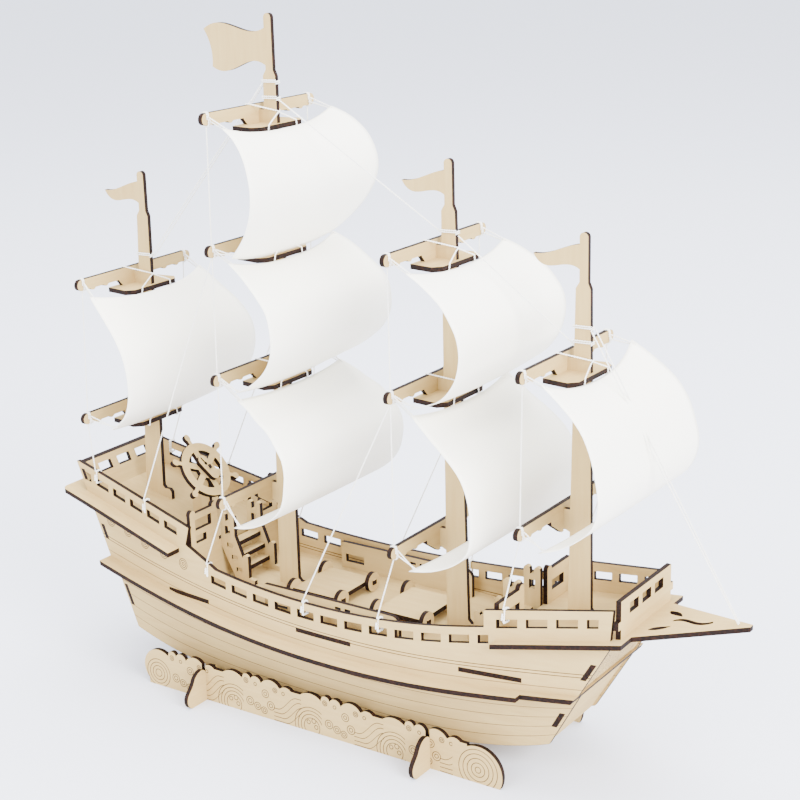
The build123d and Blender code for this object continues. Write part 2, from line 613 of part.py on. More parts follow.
def mast_board(name, mast):
    aft0, fore0 = mast["base"]
    aft1, fore1 = mast["top"]
    foot, shoulder, pole = mast["foot"], mast["shoulder"], mast["pole"]
    middle = (aft1 + fore1) / 2 + 0.3
    pole_aft, pole_fore = middle - POLE_WIDE / 2, middle + POLE_WIDE / 2
    outline = polygon(
        (aft0, foot - 6), (fore0, foot - 6), (fore1, shoulder),
        (pole_fore, shoulder + 3), (pole_fore, pole - 2), (pole_aft, pole - 2),
        (pole_aft, shoulder + 3), (aft1, shoulder))
    outline = outline + Pos(middle, pole - 2.2) * Circle(POLE_WIDE / 2)
    outline = outline + flag_outline(mast["flag"], pole_aft, pole)
    toe = polygon((fore0 - 3, foot - 4), (fore0 + 6.2, foot - 4), (fore0 + 6.2, foot + 1.6),
                  (fore0 + 4.8, foot + 3.2), (fore0 + 1.5, foot + 3.2), (fore0 - 3, foot + 8))
    outline = outline + toe
    for z in mast["yards"]:
        aft = mast_edges(mast, z)[0]
        back = aft - YARD_GAP - PLY
        ear = polygon((aft + 1, z), (back, z), (back, z - TOP_DROP), (aft - YARD_GAP, z - EAR_HIGH),
                      (aft + 1, z - EAR_HIGH - 2))
        outline = outline + ear
    deck = {"mizzen": quarter_z, "bow": fore_z}.get(name, lambda x: MAIN_DECK_Z)
    tenon = box((aft0 + 5, fore0 - 2), (-PLY / 2, PLY / 2), (mast["root"], foot + 2))
    return (centred("y", outline) - below(deck, 0)) + (tenon - below(wale_z, 0))


def yard_board(mast, z, has_top):
    """A yard: a round-ended spar with a scalloped lower edge and a leg; the leg stands on a top."""
    aft = mast_edges(mast, z)[0]
    spar = SlotOverall(2 * YARD_HALF, YARD_HIGH)
    if has_top:
        leg = polygon((-14, 0), (14, 0), (13.2, -3.6), (10.6, -TOP_DROP), (-10.6, -TOP_DROP), (-13.2, -3.6))
    else:
        leg = polygon((-14, 0), (14, 0), (13, -5), (3.2, -11.6), (-3.2, -11.6), (-13, -5))
    outline = spar + leg
    for y in (-33.5, -23.5, 23.5, 33.5):
        outline = outline + Pos(y, -1.5) * Circle(2.4)
    outline = outline - Pos(0, -7) * Rectangle(PLY, 14)
    start = aft - YARD_GAP - PLY
    return board("x", Pos(0, z) * outline, start)


def top_plate(mast, z):
    """The platform at a yard: it is notched round the mast and carries the yard's leg."""
    aft, fore = mast_edges(mast, z - TOP_DROP)
    back = aft - YARD_GAP - PLY - 1.0
    nose = fore + TOP_NOSE
    outline = polygon((back, -TOP_HALF + 2), (nose - 4, -TOP_HALF), (nose, -TOP_HALF + 4),
                      (nose, TOP_HALF - 4), (nose - 4, TOP_HALF), (back, TOP_HALF - 2))
    return board("z", outline, z - TOP_DROP - PLY)


def sail_sheet(mast, high, low, bulge):
    """A bowed sheet from just under one top to just over the next."""
    top_x = mast_edges(mast, high)[1] + TOP_NOSE + 0.5
    low_x = mast_edges(mast, low)[1] + 0.6
    top_z = high - TOP_DROP - PLY - 0.2
    low_z = low - TOP_DROP + 0.5
    mid_x = (top_x + low_x) / 2 + bulge
    mid_z = low_z + 0.47 * (top_z - low_z)
    front = Spline((top_x + PAPER, top_z), (mid_x, mid_z), (low_x + PAPER, low_z))
    back = Spline((top_x, top_z), (mid_x - PAPER, mid_z), (low_x, low_z))
    outline = make_face(Curve() + [front, back, Line(front @ 0, back @ 0), Line(front @ 1, back @ 1)])
    return centred("y", outline, 0, 2 * SAIL_HALF)


def rig():
    tops = []
    for name, mast in MASTS.items():
        mast_piece = mast_board(name, mast)
        for i, z in enumerate(mast["yards"]):
            has_top = i < TOPS[name]
            keep(f"yard_{name}_{i + 1}", yard_board(mast, z, has_top))
            if has_top:
                tops.append(top_plate(mast, z))
        for i, bulge in enumerate(SAIL_BULGE[name]):
            keep(f"sail_{name}_{i + 1}", sail_sheet(mast, mast["yards"][i], mast["yards"][i + 1], bulge))
        keep(f"mast_{name}", mast_piece)
    cut = []
    for plate in tops:
        for name in MASTS:
            plate = plate - PARTS[f"mast_{name}"]
        cut.extend(plate.solids())
    keep("mast_tops", Compound(children=cut))
    for name in ("quarterdeck", "forecastle_deck", "main_deck"):
        for mast_name in MASTS:
            keep(name, PARTS[name] - PARTS[f"mast_{mast_name}"])


# ---- rigging ----------------------------------------------------------------------------
def thread(start, end):
    """A straight taut thread."""
    line = Line(start, end)
    return sweep(Plane(origin=start, z_dir=line % 0) * Circle(THREAD / 2), path=line)


def rigging():
    lines = []
    tie = {n: [(mast_edges(m, z)[0] - YARD_GAP + 0.6, z) for z in m["yards"]] for n, m in MASTS.items()}
    for side in (-1, 1):
        for points in tie.values():
            for (xa, za), (xb, zb) in zip(points, points[1:]):
                lines.append(((xa, side * 40.6, za - 3.4), (xb, side * 40.6, zb + 3.4)))
        for name, rail_x in (("mizzen", -176), ("main", -92), ("fore", 20), ("bow", 88)):
            x, z = tie[name][-1]
            height = quarter_z(rail_x) + 11.8 if name == "mizzen" else rail_z(rail_x) - 3
            height = fore_z(rail_x) + 13.6 if name == "bow" else height
            y = half_breadth(rail_x) + 1.3
            lines.append(((x, side * 42.0, z - 3.4), (rail_x, side * y, height)))
        x, z = tie["main"][1]
        lines.append(((x, side * 42.2, z - 3.4), (-138, side * 37.0, quarter_z(-138) + 12)))
        x, z = tie["fore"][1]
        lines.append(((x, side * 42.2, z - 3.4), (-26, side * 46.0, rail_z(-26) - 3)))
    for low, high in (("mizzen", "main"), ("fore", "main"), ("bow", "fore")):
        a, b = MASTS[low], MASTS[high]
        za, zb = a["yards"][0] + 9, b["yards"][0] + (14 if low == "mizzen" else 4)
        ahead = low != "mizzen"
        xa = mast_edges(a, za)[0] - 0.6 if ahead else mast_edges(a, za)[1] + 0.6
        xb = mast_edges(b, zb)[1] + 0.6 if ahead else mast_edges(b, zb)[0] - 0.6
        lines.append(((xa, 0, za), (xb, 0, zb)))
    bow = MASTS["bow"]
    z = bow["yards"][0] + 13
    lines.append(((mast_edges(bow, z)[1] + 0.8, 3.0, z), (BEAK_X - 3.4, 0, fore_z(BEAK_X - 3.4) + 0.5)))
    keep("rigging_threads", Compound(children=[s for a, b in lines for s in thread(a, b).solids()]))


# ---- stand ------------------------------------------------------------------------------
def crest(start, width, height):
    """A round crest that rises over the notch line of a wave board."""
    rise = height - WAVE_HIGH
    radius = (width ** 2 / 4 + rise ** 2) / (2 * rise)
    return Pos(start + width / 2, height - radius) * Circle(radius)


def wave_board():
    """A long board whose top edge repeats five crests, with a round swirl at each end."""
    low, high = WAVE_ENDS
    outline = Pos((low + high) / 2, WAVE_HIGH / 2) * Rectangle(high - low - 40, WAVE_HIGH)
    outline = outline + Pos(low + 14, WAVE_HIGH / 2) * Rectangle(14, WAVE_HIGH)
    outline = outline + Pos(low + 11, 10.6) * Circle(11) + Pos(low + 12, 3) * Rectangle(18, 6)
    swirl = Pos(high - 13.8, 6.2) * Circle(13.8)
    outline = outline + swirl
    for turn in range(4):
        start = WAVE_START + turn * WAVE_PERIOD
        for offset, width, height in ((0, 5.4, 22.8), (5.2, 7.2, 22.6), (12.6, 12.0, 22.9),
                                      (25.4, 7.0, 21.2), (38.4, 13.2, 22.0)):
            if start + offset + width < high - 20:
                outline = outline + crest(start + offset, width, height)
    below_table = Pos(0, -20) * Rectangle(400, 40)
    return outline - below_table


def cross_foot(x):
    """A cross board that carries the hull; its ears stand outside the wave boards."""
    seat = min(keel_z(x - PLY / 2), keel_z(x + PLY / 2)) - FIT
    ear = Spline((WAVE_Y + 1.25, FOOT_SHOULDER), (45.0, 18.8), (50.5, 16.0), (52.6, 12.5), (54.6, 10.3),
                 (57.4, 6.0), (56.8, 2.4), (54.0, 0))
    right = Polyline(ear @ 1, (0, 0), (0, seat), (29.6, seat), (32.6, FOOT_SHOULDER), ear @ 0)
    half = make_face(Curve() + [ear, right])
    return half + mirror(half, about=Plane.YZ)


def stand():
    feet = [centred("x", cross_foot(x), x) for x in FOOT_PLACES]
    boards = [centred("y", wave_board(), y) for y in (-WAVE_Y, WAVE_Y)]
    half_z = 8.0
    for x in FOOT_PLACES:
        for y in (-WAVE_Y, WAVE_Y):
            slot_x = (x - PLY / 2, x + PLY / 2)
            slot_y = (y - PLY / 2, y + PLY / 2)
            boards = [b - box(slot_x, slot_y, (half_z, 40)) for b in boards]
            feet = [f - box(slot_x, slot_y, (-1, half_z)) for f in feet]
    keep("wave_board_starboard", boards[0])
    keep("wave_board_port", boards[1])
    keep("cross_foot_aft", feet[0])
    keep("cross_foot_fore", feet[1])


# ---- build ------------------------------------------------------------------------------
upper_inside, lower_inside = hull_solids()
wale_plates()
decks(upper_inside)
end_panels(upper_inside, lower_inside)
hull_sides()
inner_structure(lower_inside)
quarter_bulkhead(upper_inside)
forecastle_rails(upper_inside)
inner_bulwarks()
for ladder_name, break_place, deck_height in (
        ("main_ladder", QUARTER_BREAK_X, quarter_z(QUARTER_BREAK_X)),
        ("fore_ladder", FORE_BREAK_X - PLY, fore_z(FORE_BREAK_X))):
    sizes = LADDERS[ladder_name]
    ladder(ladder_name, sizes["foot_x"], break_place, deck_height, sizes["run"], sizes["steps"],
           sizes["half"], deck_height + sizes["rail"])
carriages()
helm()
rig()
rigging()
stand()

os.makedirs("parts", exist_ok=True)
for part_name, part_shape in PARTS.items():
    export_step(part_shape, f"parts/{part_name}.step")
print(len(PARTS), "pieces written")
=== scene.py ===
# %% [markdown]
# A slot-together wooden sailing ship on its wave stand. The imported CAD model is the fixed
# frame. Its boards keep their shape and get a laser-cut birch finish here. The sails and the
# rigging threads are soft, so they are built again as real sheet and twisted thread.

# %% Load the frame
import bmesh
import bpy
import math
from mathutils import Matrix, Vector


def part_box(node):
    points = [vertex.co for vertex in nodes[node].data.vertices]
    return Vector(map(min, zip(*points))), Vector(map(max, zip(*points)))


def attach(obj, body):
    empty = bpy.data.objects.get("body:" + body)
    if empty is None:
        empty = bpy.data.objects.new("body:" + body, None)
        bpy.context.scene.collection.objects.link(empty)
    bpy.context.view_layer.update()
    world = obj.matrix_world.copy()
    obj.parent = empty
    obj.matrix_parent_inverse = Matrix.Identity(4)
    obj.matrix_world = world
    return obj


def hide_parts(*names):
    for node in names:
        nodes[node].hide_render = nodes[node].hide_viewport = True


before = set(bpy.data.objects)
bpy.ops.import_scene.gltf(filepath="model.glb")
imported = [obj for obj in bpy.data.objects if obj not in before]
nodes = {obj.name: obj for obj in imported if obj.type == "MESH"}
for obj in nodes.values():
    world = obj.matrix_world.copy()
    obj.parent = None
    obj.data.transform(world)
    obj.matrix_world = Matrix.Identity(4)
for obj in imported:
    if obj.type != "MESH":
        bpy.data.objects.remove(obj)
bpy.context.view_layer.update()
MM = 0.001
print("boards and sheets from CAD:", len(nodes))

# %% [markdown]
# The camera stands ahead of the ship's right side and looks a little down on it, rolled by
# under two degrees. A long lens keeps the masts nearly parallel. A camera's three axes are
# right, up and back, so its matrix is written from those three vectors.

# %% Camera
CAMERA_AT = Vector((469.57, -676.86, 424.66)) * MM
CAMERA_TURN, CAMERA_RISE, CAMERA_ROLL = (math.radians(a) for a in (35.03, 17.61, -1.75))
back = Vector((math.sin(CAMERA_TURN) * math.cos(CAMERA_RISE),
               -math.cos(CAMERA_TURN) * math.cos(CAMERA_RISE), math.sin(CAMERA_RISE)))
level = Vector((math.cos(CAMERA_TURN), math.sin(CAMERA_TURN), 0))
upright = back.cross(level)
right = level * math.cos(CAMERA_ROLL) + upright * math.sin(CAMERA_ROLL)
up = back.cross(right)
camera = bpy.data.objects.new("camera", bpy.data.cameras.new("camera"))
bpy.context.scene.collection.objects.link(camera)
camera.matrix_world = Matrix.Translation(CAMERA_AT) @ Matrix((right, up, back)).transposed().to_4x4()
camera.data.lens = 77.27
camera.data.sensor_width = 36
camera.data.shift_x, camera.data.shift_y = 0.0235, 0.0251
camera.data.clip_end = 20
bpy.context.scene.camera = camera
print("camera", [round(v, 3) for v in camera.location])

# %% [markdown]
# Studio light: the room is bright and even, so shadows are faint. The world gives most of the
# light. Three large soft lamps shape the sails: a key ahead and to the right, a weak fill beside
# the hull and one overhead. The floor is one pale sheet that runs far behind the model.

# %% Lights
LAMP_AIM = Vector((0, 0, 0.15))
ROOM_COLOUR = (0.90, 0.93, 1.0, 1)
ROOM_STRENGTH = 3.6


def soft_lamp(name, place, size, power, tint=(1, 1, 1)):
    """A square lamp that points at the middle of the ship."""
    lamp = bpy.data.objects.new(name, bpy.data.lights.new(name, "AREA"))
    bpy.context.scene.collection.objects.link(lamp)
    lamp.data.size, lamp.data.energy, lamp.data.color = size, power, tint
    aim = LAMP_AIM - Vector(place)
    lamp.matrix_world = Matrix.Translation(place) @ aim.to_track_quat("-Z", "Y").to_matrix().to_4x4()


soft_lamp("key_lamp", (1.9, -0.7, 1.1), 1.2, 170)
soft_lamp("fill_lamp", (-0.3, -2.0, 1.2), 1.4, 60)
soft_lamp("top_lamp", (0.0, 0.3, 2.1), 1.6, 95)
world = bpy.data.worlds.new("room")
bpy.context.scene.world = world
world.use_nodes = True
backdrop = world.node_tree.nodes["Background"].inputs
backdrop["Color"].default_value = ROOM_COLOUR
backdrop["Strength"].default_value = ROOM_STRENGTH
print("lamps placed")

# %% [markdown]
# A finish is a small tree of nodes. The class Number wraps one socket, so plain Python maths
# such as 1 - mask adds the Math nodes. The class Finish holds one material, and its node
# method adds any other node: settings first, then the values or links of its sockets.

# %% Shader maths
class Number:
    """A number from a socket; maths on it adds Math nodes to the same finish."""

    def __init__(self, finish, socket):
        self.finish, self.socket = finish, socket

    def maths(self, operation, first, second=None):
        sockets = {0: first} if second is None else {0: first, 1: second}
        return self.finish.node("Math", {"operation": operation}, sockets).number()

    def __add__(self, other): return self.maths("ADD", self, other)
    def __sub__(self, other): return self.maths("SUBTRACT", self, other)
    def __mul__(self, other): return self.maths("MULTIPLY", self, other)
    def __truediv__(self, other): return self.maths("DIVIDE", self, other)
    def __rsub__(self, other): return self.maths("SUBTRACT", other, self)
    def __rtruediv__(self, other): return self.maths("DIVIDE", other, self)
    def __gt__(self, other): return self.maths("GREATER_THAN", self, other)
    def __lt__(self, other): return self.maths("LESS_THAN", self, other)
    def __abs__(self): return self.maths("ABSOLUTE", self)
    __radd__, __rmul__ = __add__, __mul__

    def wave(self): return self.maths("SINE", self)
    def root(self): return self.maths("SQRT", self)
    def fraction(self): return self.maths("FRACT", self)
    def at_most(self, other): return self.maths("MINIMUM", self, other)
    def at_least(self, other): return self.maths("MAXIMUM", self, other)


class Made:
    """A node that has been added; its outputs are read as a number or a link."""

    def __init__(self, finish, node):
        self.finish, self.node = finish, node

    def link(self, name=0):
        return self.node.outputs[name]

    def number(self, name=0):
        return Number(self.finish, self.node.outputs[name])


class Finish:
    """One material."""

    def __init__(self, name):
        self.material = bpy.data.materials.new(name)
        self.material.use_nodes = True
        self.tree = self.material.node_tree
        self.shader = self.tree.nodes["Principled BSDF"]

    def node(self, kind, settings=None, sockets=None):
        """Adds a node of a type; a ramp's stops come as pairs of place and colour."""
        node = self.tree.nodes.new("ShaderNode" + kind)
        for name, value in (settings or {}).items():
            if name == "stops":
                elements = node.color_ramp.elements
                while len(elements) < len(value):
                    elements.new(1)
                for element, (place, colour) in zip(elements, value):
                    element.position, element.color = place, (*colour, 1)
            else:
                setattr(node, name, value)
        for name, value in (sockets or {}).items():
            self.feed(node.inputs[name], value)
        return Made(self, node)

    def feed(self, socket, value):
        if isinstance(value, Number):
            value = value.socket
        if isinstance(value, bpy.types.NodeSocket):
            self.tree.links.new(value, socket)
        else:
            socket.default_value = value

    def mix(self, share, first, second):
        """A colour between two colours."""
        made = self.node("Mix", {"data_type": "RGBA"}, {0: share, 6: first, 7: second})
        return made.link(2)

    def place(self):
        """The point on the piece, in metres, as three numbers."""
        spot = self.node("TexCoord").link("Object")
        parts = self.node("SeparateXYZ", None, {0: spot})
        return spot, [parts.number(i) for i in range(3)]

    def noise(self, spot, scale, stretch=(1, 1, 1), detail=3.0):
        """Cloudy variation, stretched along a board's grain."""
        mapped = self.node("Mapping", None, {"Vector": spot, "Scale": stretch}).link()
        return self.node("TexNoise", None, {"Vector": mapped, "Scale": scale, "Detail": detail}).number()

    def coat(self, **sockets):
        for name, value in sockets.items():
            self.feed(self.shader.inputs[name.replace("_", " ")], value)
        return self.material


def rgb(red, green, blue):
    """A screen colour from 0 to 255 as the linear colour that nodes use."""
    return tuple(((c / 255 + 0.055) / 1.055) ** 2.4 if c > 10 else c / 255 / 12.92
                 for c in (red, green, blue))


print("shader helpers ready")

# %% [markdown]
# Birch plywood, cut by laser. Its faces are pale and nearly plain, with faint streaks of
# grain. The beam chars every cut, so all the edges are dark brown. A face and an edge of one
# board differ only in which way they point, so the finish compares the surface's direction
# with the board's own: where they agree it is a face. Fine noise makes the char a little uneven.

# %% Birch finish
PALE = rgb(184, 158, 106) + (1,)
STREAK = rgb(160, 131, 80) + (1,)
CHAR = rgb(13, 5, 2) + (1,)
CHAR_LIGHT = rgb(44, 20, 9) + (1,)
LINE = rgb(52, 28, 10) + (1,)
GRAIN = {"x": (0.10, 1, 1), "y": (1, 0.10, 1), "z": (1, 1, 0.10)}
FACE_LIMIT = 0.62
STREAK_SCALE, CLOUD_SCALE, SMOKE_SCALE = 420, 22, 900
FINE_BUMP = 0.0001


def birch(name, directions, grain, scored=None):
    """Faces point along one of the directions; every other side is a charred cut."""
    finish = Finish(name)
    spot, (x, y, z) = finish.place()
    way = finish.node("TexCoord").link("Normal")
    face = None
    for direction in directions:
        facing = abs(finish.node("VectorMath", {"operation": "DOT_PRODUCT"},
                                 {0: way, 1: Vector(direction).normalized()}).number("Value"))
        here = facing > FACE_LIMIT
        face = here if face is None else face.at_least(here)
    streaks = finish.noise(spot, STREAK_SCALE, GRAIN[grain], 4)
    clouds = finish.noise(spot, CLOUD_SCALE)
    wood = finish.mix(streaks * 0.75 + clouds * 0.45 - 0.25, PALE, STREAK)
    smoke = finish.noise(spot, SMOKE_SCALE, detail=2)
    char = finish.mix((smoke - 0.42) * 2.6, CHAR, CHAR_LIGHT)
    height = streaks * 0.3 + smoke * 0.4
    if scored is not None:
        cut = scored(x, y, z)
        wood = finish.mix(cut * 0.9, wood, LINE)
        height = height - cut * 3
    bump = finish.node("Bump", None, {"Strength": 0.25, "Distance": FINE_BUMP, "Height": height}).link()
    return finish.coat(Base_Color=finish.mix(face, char, wood), Roughness=0.62 + streaks * 0.12,
                       Normal=bump, Specular_IOR_Level=0.12)


BOW_FACE = (1, 0, -0.578)
STERN_UPPER_FACE = (1, 0, 0.43)
STERN_LOWER_FACE = (1, 0, 0.18)
HELM_AXIS = (0.7880, 0, 0.6157)
BOARDS = {
    "birch_across": ([(1, 0, 0)], "y", ["yard_*", "quarterdeck_bulkhead", "forecastle_bulkhead",
                     "forecastle_rail_aft", "forecastle_rail_fore", "cross_foot_*", "carriage_wheels",
                     "hull_frames"]),
    "birch_upright": ([(0, 1, 0)], "z", ["mast_bow", "mast_fore", "mast_main", "mast_mizzen", "helm_post"]),
    "birch_lengthwise": ([(0, 1, 0)], "x", ["keel_board", "inner_bulwark_*"]),
    "birch_ladder": ([(0, 1, 0), (0, 0, 1)], "z", ["main_ladder", "fore_ladder"]),
    "birch_level": ([(0, 0, 1)], "x", ["quarterdeck", "main_deck", "forecastle_deck", "wale_plate_*",
                    "bottom_plate", "carriage_plates"]),
    "birch_tops": ([(0, 0, 1)], "y", ["mast_tops"]),
    "birch_helm": ([HELM_AXIS], "y", ["helm_wheel", "helm_clip"]),
    "birch_bow": ([BOW_FACE], "y", ["bow_panel_lower"]),
    "birch_stern_upper": ([STERN_UPPER_FACE], "y", ["transom_upper", "stern_rail"]),
    "birch_stern_lower": ([STERN_LOWER_FACE], "y", ["transom_lower"]),
}


def named(patterns):
    """The CAD nodes whose names fit any of the patterns."""
    return [n for n in sorted(nodes) for p in patterns
            if n == p or (p.endswith("*") and n.startswith(p[:-1]))]


def dress(patterns, material):
    for name in named(patterns):
        nodes[name].data.materials.clear()
        nodes[name].data.materials.append(material)


for name, (directions, grain, patterns) in BOARDS.items():
    dress(patterns, birch(name, directions, grain))
    print(name, "on", len(named(patterns)), "pieces")

# %% [markdown]
# The hull's sides carry scored lines, burnt by a weaker beam: mouldings that follow the
# sheer on the upper sides, with a row of portholes aft, and planks on the lower sides. The
# lines are thin and shallow, so the finish draws them from each point's place: a line is
# where the height differs from the sheer curve by less than half its breadth.

# %% Scored hull sides
PORTHOLES = ((-167, 87.3), (-153.5, 84.4), (-140, 80.6), (-125, 78.4), (-110, 75.8))
PORTHOLE_RINGS = (0.8, 2.0, 3.0)
SCORE = 0.22
TO_MM = 1000
MOULDINGS, FAINT_MOULDING, FAINT = (9.6, 11.2), 3.2, 0.7
KEEL_LOW_X, KEEL_LOW_Z, KEEL_LIFT = -28, 9.6, 3.9e-8
PLANKS, PLANK_LINE = 6, 0.478
WAVE_START, WAVE_PERIOD, WAVE_ENDS = -123, 52, (-122, 61)
CURLS = ((2.4, 18.9, (0.6, 1.4)), (8.6, 18.2, (0.9,)), (21.8, 17.8, (0.6, 1.4)), (27.2, 17.2, (0.9,)),
         (15.2, 14.2, (1.0, 2.2)), (18.6, 8.0, (1.1, 2.4)), (14.0, 4.2, (0.9, 1.9)), (43.4, 5.4, (1.1,)),
         (46.8, 6.6, (1.3,)), (48.2, 3.4, (1.1,)), (4.6, 7.4, (1.2, 2.4)), (9.6, 5.6, (1.0, 2.1)))


def band(value, middle, half=SCORE):
    """1 within half a line's breadth of the middle, else 0. Sizes are in millimetres."""
    return abs(value - middle) < half


def rings(x, z, across, high, radii):
    """Rings round one place."""
    far = ((x - across) * (x - across) + (z - high) * (z - high)).root()
    lines = band(far, radii[0])
    for radius in radii[1:]:
        lines = lines.at_least(band(far, radius))
    return lines


def wale_height(x):
    """The wale's height: it rises from amidships, more steeply towards the stern."""
    return 49.3 + ((x + 5) * (x + 5)) * ((x < -5) * 2.5e-4 + 3.7e-4)


def upper_score(x, y, z):
    """Two mouldings, a fainter one below them, and the portholes."""
    x, z = x * TO_MM, z * TO_MM
    over = z - wale_height(x)
    lines = band(over, MOULDINGS[0]).at_least(band(over, MOULDINGS[1]))
    lines = lines.at_least(band(over, FAINT_MOULDING) * FAINT)
    for place, height in PORTHOLES:
        lines = lines.at_least(rings(x, z, place, height, PORTHOLE_RINGS))
    return lines


def lower_score(x, y, z):
    """Planks of equal breadth between the keel's curve and the wale's."""
    x, z = x * TO_MM, z * TO_MM
    wale = wale_height(x)
    bend = (x - KEEL_LOW_X) * (x - KEEL_LOW_X)
    keel = KEEL_LOW_Z + bend * bend * KEEL_LIFT
    share = (z - keel) / (wale - keel) * PLANKS
    return abs(share.fraction() - 0.5) > PLANK_LINE


def wave_score(x, y, z):
    """Sea waves along a stand board: nested arches, spray, curls and flowing lines."""
    x, z = x * TO_MM, z * TO_MM
    turn = ((x - WAVE_START) / WAVE_PERIOD).fraction() * WAVE_PERIOD
    lines = rings(turn, z, 45.5, 3.0, (5.0, 7.0, 9.0, 11.0))
    for across, high, radii in CURLS:
        lines = lines.at_least(rings(turn, z, across, high, radii))
    for step in range(4):
        lean = (((turn - 29.5 - step * 1.9) * 0.24).at_least(-1.57)).at_most(1.57)
        flow = band(z, lean.wave() * 4.6 + 12.0 - step * 2.3)
        lines = lines.at_least(flow * (turn > 20.5) * (turn < 39))
    aft_end, fore_end = WAVE_ENDS
    lines = lines * (x > aft_end) * (x < fore_end)
    lines = lines.at_least(rings(x, z, -131.0, 7.5, (2.2, 4.2, 6.2, 8.2)) * (x < aft_end))
    return lines.at_least(rings(x, z, 75.6, 7.2, (1.6, 3.8, 6.2, 8.6, 11.0)) * (x > fore_end))


def swirl_score(x, y, z):
    """Clouds of curls on the bow panel: level lines of two crossing waves."""
    y, z = y * TO_MM, z * TO_MM
    hills = (y * 0.55 + (z * 0.8).wave() * 1.3).wave() + (z * 0.6 + (y * 0.45).wave() * 1.7).wave()
    return (abs((hills * 1.9).fraction() - 0.5) < 0.13) * (abs(y) < 25)


dress(["upper_side_*"], birch("birch_upper_side", [(0, 1, 0)], "x", upper_score))
dress(["lower_side_*"], birch("birch_lower_side", [(0, 1, 0)], "x", lower_score))
dress(["wave_board_*"], birch("birch_wave_board", [(0, 1, 0)], "x", wave_score))
dress(["bow_panel_upper"], birch("birch_bow_upper", [BOW_FACE], "y", swirl_score))
print("hull sides, wave boards and bow scored")

# %% [markdown]
# The sails are cut from a stiff white sheet and are longer than the gap between their yards,
# so they spring out in a bow. Each starts as a flat grid and every row is laid along a
# profile: the bow seen from the side. The corners are tied back to the yard, and the middle
# of each end is held a little further forward by the top, the small platform on the mast.

# %% Sail profiles
SHEET = 0.35
PROFILES = {
    "mizzen_1": ([(-158, 218.3), (-146, 207.9), (-136, 198.8), (-129.5, 188.9), (-127.5, 178.1),
                  (-129.5, 166.4), (-136.5, 155.5), (-149.4, 146.4)], 6),
    "main_1": ([(-61.6, 311.8), (-52.2, 306.9), (-44.5, 299.1), (-40.2, 289.1), (-39.5, 279.6),
                (-42.5, 269.6), (-49.5, 259), (-60, 248.5)], 5),
    "main_2": ([(-62.7, 246), (-53, 240.5), (-42, 231.6), (-35, 224), (-32.5, 214.1), (-33.5, 203.5),
                (-40, 193.6), (-52, 184.5), (-63, 179.5)], 3),
    "main_3": ([(-62, 176), (-53.8, 172.1), (-47.2, 167.5), (-39.4, 163.2), (-33.6, 156.6),
                (-29.1, 150.6), (-27.5, 143.3), (-28.2, 136.2), (-29.5, 130.1), (-32.5, 124.1),
                (-39.3, 117.4), (-47.7, 112.4), (-58.2, 108.2), (-68.8, 106.1)], 4),
    "fore_1": ([(41.6, 251.9), (51.2, 247.5), (62.3, 240), (69, 232.1), (72.7, 224.4), (73, 214.8),
                (69, 203.6), (59, 193.5), (42, 187)], 0),
    "fore_2": ([(42.8, 184), (54.2, 174.4), (64.3, 166.8), (72, 159.7), (76.3, 152.5), (78.4, 145.8),
                (79.2, 138.6), (78.7, 131.1), (76.7, 123.6), (71.3, 117.6), (63.7, 112.7), (52.6, 108),
                (39.5, 105)], 2),
    "bow_1": ([(112.2, 208.9), (122.7, 201.8), (133.5, 192.5), (139.7, 182.5), (143.1, 171.9),
               (144.8, 163), (144.3, 155.9), (141, 147.9), (133.9, 140.9), (122.9, 133.7),
               (110.9, 128.9)], 2),
}


def along(points, share):
    """A point on the smooth line through the points, by its share of the line's steps."""
    steps = len(points) - 1
    i = min(int(share * steps), steps - 1)
    t = share * steps - i
    before = points[max(i - 1, 0)]
    after = points[min(i + 2, steps)]
    a, b = points[i], points[i + 1]
    return [0.5 * ((2 * q) + (r - p) * t + (2 * p - 5 * q + 4 * r - s) * t * t
                   + (3 * q - p - 3 * r + s) * t ** 3)
            for p, q, r, s in zip(before, a, b, after)]


print("sails to lay:", ", ".join(PROFILES))

# %% [markdown]
# Sails and threads are tied to the masts and yards, so they need to know where those are. A
# yard's place is measured from its CAD node. A mast tapers, so its fore and aft edges are kept
# as straight lines in the side view, and a small function gives the edge at any height.

# %% Places on the masts
YARD_HALF_HIGH = 2.9
TOP_DROP = 6.4
PLY = 2.5
LOWEST = {"main_3": 109.0, "fore_2": 107.0, "bow_1": 130.3}
MAST_FORE = {"mizzen": ((-155.6, 96.0), (-152.8, 254.0)), "main": ((-61.8, 59.5), (-61.6, 331.6)),
             "fore": ((46.0, 59.5), (41.8, 272.7)), "bow": ((115.2, 81.0), (113.8, 243.0))}
MAST_AFT = {"mizzen": ((-168.2, 96.0), (-160.4, 254.0)), "main": ((-74.6, 59.5), (-69.2, 331.6)),
            "fore": ((33.2, 59.5), (34.2, 272.7)), "bow": ((102.6, 81.0), (106.2, 243.0))}


def edge(mast_edge, z):
    """A tapered mast's edge, at a height, in millimetres."""
    (x0, z0), (x1, z1) = mast_edge
    return x0 + (x1 - x0) * (z - z0) / (z1 - z0)


def yard(name):
    """A yard's aft face, fore face and middle height, in millimetres, from its CAD node."""
    low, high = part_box("yard_" + name)
    return low.x / MM, high.x / MM, high.z / MM - YARD_HALF_HIGH


print("main yard", [round(v, 1) for v in yard("main_1")])
